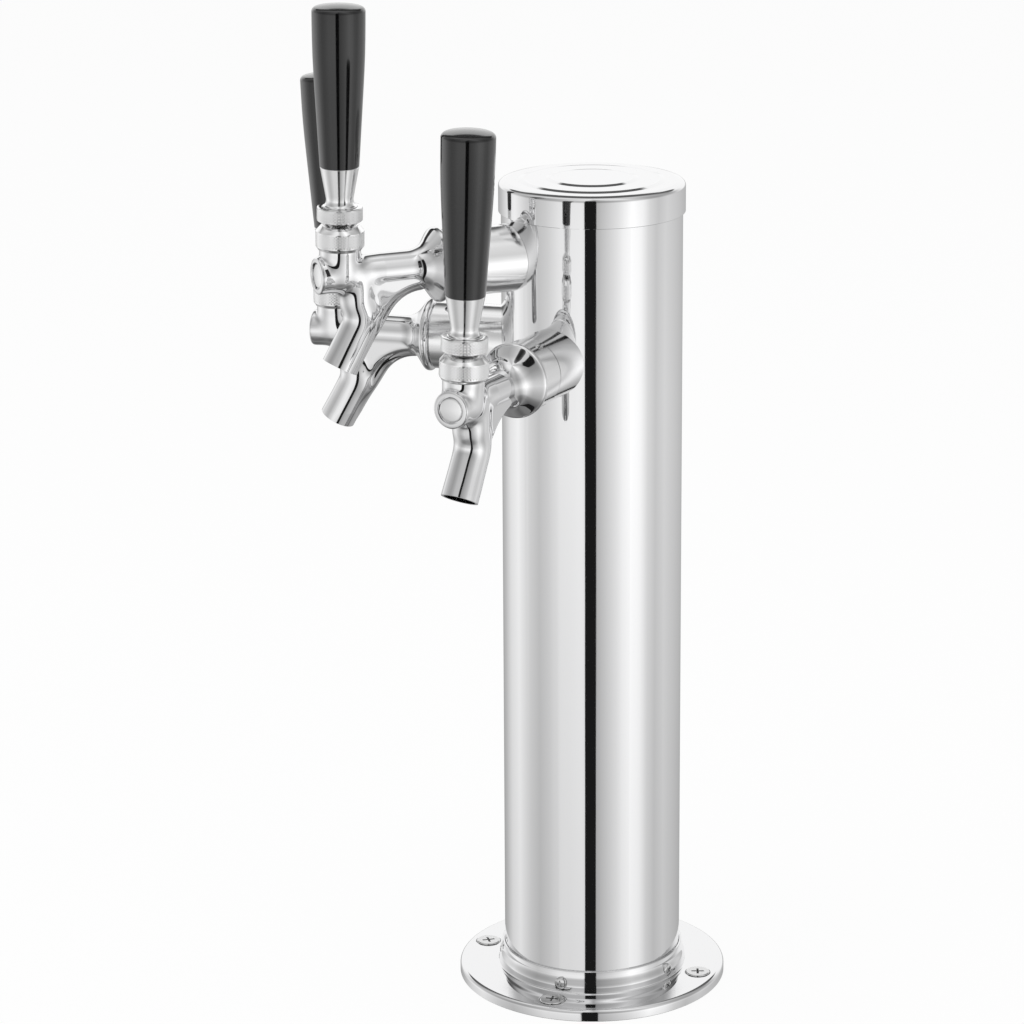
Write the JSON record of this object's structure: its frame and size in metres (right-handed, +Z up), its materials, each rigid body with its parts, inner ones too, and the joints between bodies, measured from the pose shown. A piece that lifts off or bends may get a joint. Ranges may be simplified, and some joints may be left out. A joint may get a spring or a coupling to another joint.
{
  "type": "beer tower dispenser",
  "caption": "Cylindrical stainless counter tower with lever-operated chrome beer faucets fanned round its top and black tap handles.",
  "frame": {"origin": "centre of the flange's underside, in the plane of the counter top", "axes": "+Z up along the column; the middle tap points along -Y, with the side taps at equal angles to its left (-X) and right (+X)"},
  "size_m": [0.1688, 0.1811, 0.4539],
  "materials": {
    "polished_steel": "mirror-polished stainless sheet",
    "chrome_body": "bright chrome plate on a cast body",
    "chrome_trim": "satin chrome, knurled where gripped",
    "screw_steel": "bright turned steel",
    "plain_steel": "turned stainless steel",
    "black_grip": "glossy black moulded plastic",
    "black_rubber": "matt black rubber",
    "white_plastic": "matt white low-friction plastic"
  },
  "bodies": {
    "tower": {"column": "polished_steel", "base_flange": "polished_steel", "base_gasket": "black_rubber", "mounting_screws": "screw_steel", "collar_screws": "screw_steel", "friction_washers": "white_plastic", "ball_washers": "black_rubber", "coupling_gaskets": "black_rubber", "tail_washers": "black_rubber", "inner_saddles": "plain_steel", "left_bonnet": "chrome_trim", "left_faucet_body": "chrome_body", "left_boss_plug": "chrome_body", "left_coupling_nut": "chrome_trim", "left_shank": "plain_steel", "left_shank_spacer": "chrome_trim", "left_lock_nut": "plain_steel", "left_tail_elbow": "plain_steel", "left_tail_nut": "plain_steel", "centre_bonnet": "chrome_trim", "centre_faucet_body": "chrome_body", "centre_boss_plug": "chrome_body", "centre_coupling_nut": "chrome_trim", "centre_shank": "plain_steel", "centre_shank_spacer": "chrome_trim", "centre_lock_nut": "plain_steel", "centre_tail_elbow": "plain_steel", "centre_tail_nut": "plain_steel", "right_bonnet": "chrome_trim", "right_faucet_body": "chrome_body", "right_boss_plug": "chrome_body", "right_coupling_nut": "chrome_trim", "right_shank": "plain_steel", "right_shank_spacer": "chrome_trim", "right_lock_nut": "plain_steel", "right_tail_elbow": "plain_steel", "right_tail_nut": "plain_steel"},
    "cap": {"column_cap": "polished_steel", "cap_gasket": "black_rubber"},
    "left_handle": {"left_grip": "black_grip", "left_ferrule": "chrome_trim", "left_lever_collar": "chrome_trim", "left_lever": "plain_steel"},
    "left_valve": {"left_valve_shaft": "plain_steel", "left_seat_washer": "black_rubber"},
    "centre_handle": {"centre_grip": "black_grip", "centre_ferrule": "chrome_trim", "centre_lever_collar": "chrome_trim", "centre_lever": "plain_steel"},
    "centre_valve": {"centre_valve_shaft": "plain_steel", "centre_seat_washer": "black_rubber"},
    "right_handle": {"right_grip": "black_grip", "right_ferrule": "chrome_trim", "right_lever_collar": "chrome_trim", "right_lever": "plain_steel"},
    "right_valve": {"right_valve_shaft": "plain_steel", "right_seat_washer": "black_rubber"}
  },
  "joints": [
    {"name": "left_lever_tilt", "type": "hinge", "parent": "tower", "child": "left_handle", "pos_m": [-0.07003, -0.08804, 0.2964], "axis": [0.7826, -0.6225, 0], "range_deg": [0, 23]},
    {"name": "left_valve_slide", "type": "slide", "parent": "tower", "child": "left_valve", "axis": [0.6225, 0.7826, 0], "range_m": [0, 0.0046]},
    {"name": "centre_lever_tilt", "type": "hinge", "parent": "tower", "child": "centre_handle", "pos_m": [0.00039, -0.1125, 0.33709], "axis": [0.9996, 0, -0.0279], "range_deg": [0, 25]},
    {"name": "centre_valve_slide", "type": "slide", "parent": "tower", "child": "centre_valve", "axis": [0, 1, 0], "range_m": [0, 0.0046]},
    {"name": "right_lever_tilt", "type": "hinge", "parent": "tower", "child": "right_handle", "pos_m": [0.07051, -0.08766, 0.29639], "axis": [0.7819, 0.6219, -0.0436], "range_deg": [0, 23.6]},
    {"name": "right_valve_slide", "type": "slide", "parent": "tower", "child": "right_valve", "axis": [-0.6225, 0.7826, 0], "range_m": [0, 0.0046]},
    {"name": "cap_lift", "type": "slide", "parent": "tower", "child": "cap", "axis": [0, 0, 1], "range_m": [0, 0.04]}
  ],
  "couplings": [
    {"joint": "left_valve_slide", "follows": "left_lever_tilt", "m_per_rad": 0.01017},
    {"joint": "centre_valve_slide", "follows": "centre_lever_tilt", "m_per_rad": 0.01017},
    {"joint": "right_valve_slide", "follows": "right_lever_tilt", "m_per_rad": 0.01017}
  ]
}
